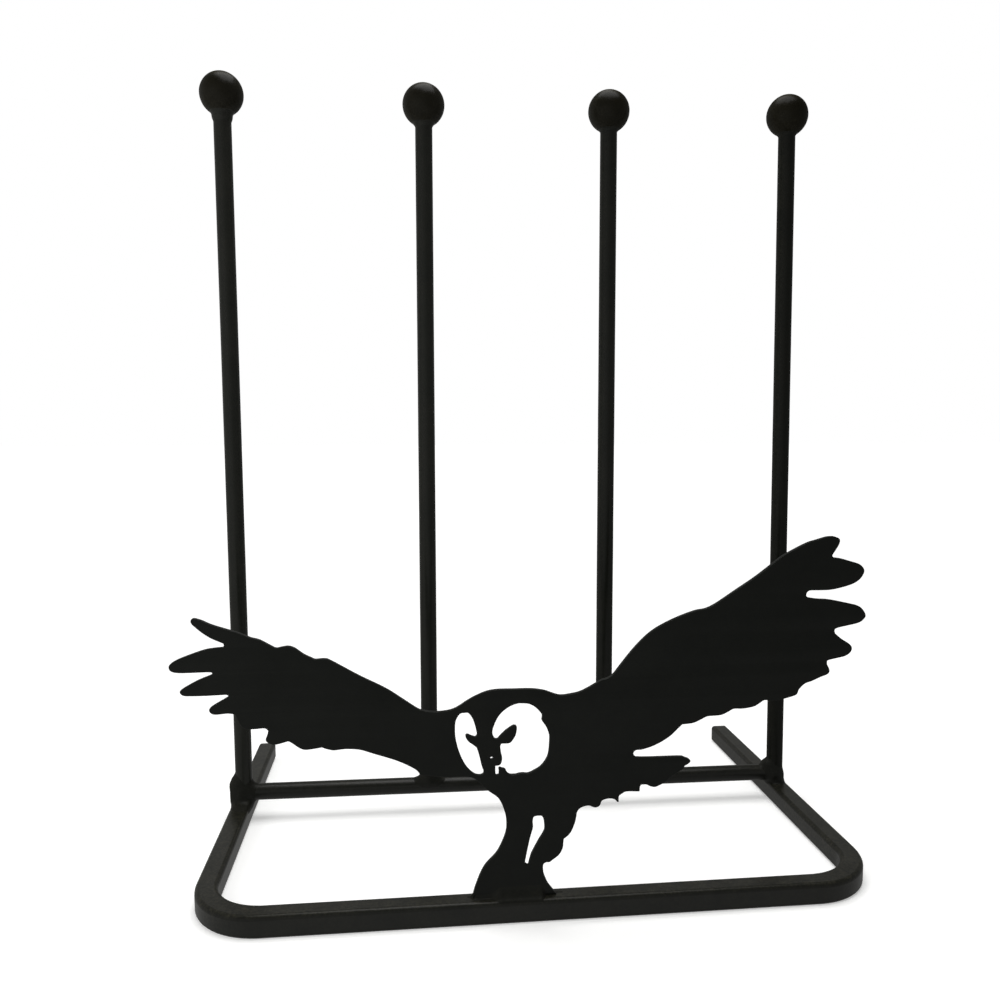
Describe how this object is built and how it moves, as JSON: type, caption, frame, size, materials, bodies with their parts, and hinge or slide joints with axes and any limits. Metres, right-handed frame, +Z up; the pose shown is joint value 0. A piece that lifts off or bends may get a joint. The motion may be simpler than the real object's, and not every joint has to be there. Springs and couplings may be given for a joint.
{
  "type": "boot rack",
  "caption": "Freestanding welded boot rack: U-shaped square-bar base, upright round rods with ball tops on a crossbar, and a flat plate cut as a flying owl at the front.",
  "frame": {"origin": "on the floor, under the middle of the rack's overall width and depth", "axes": "+X to the right as seen from the owl side, +Y from the owl towards the open back of the base, +Z up along the rods"},
  "size_m": [0.439, 0.282, 0.5385],
  "materials": {
    "black_paint": "satin black paint over steel bar and plate",
    "painted_weld": "satin black paint over rippled weld metal"
  },
  "bodies": {
    "root": {"base_rail": "black_paint", "crossbar": "black_paint", "owl_plate": "black_paint", "rod_1": "black_paint", "finial_1": "black_paint", "rod_2": "black_paint", "finial_2": "black_paint", "rod_3": "black_paint", "finial_3": "black_paint", "rod_4": "black_paint", "finial_4": "black_paint", "owl_weld": "painted_weld", "rail_weld_left_front": "painted_weld", "rail_weld_left_back": "painted_weld", "rail_weld_right_front": "painted_weld", "rail_weld_right_back": "painted_weld", "foot_weld_1": "painted_weld", "neck_weld_1": "painted_weld", "foot_weld_2": "painted_weld", "neck_weld_2": "painted_weld", "foot_weld_3": "painted_weld", "neck_weld_3": "painted_weld", "foot_weld_4": "painted_weld", "neck_weld_4": "painted_weld"}
  },
  "joints": []
}
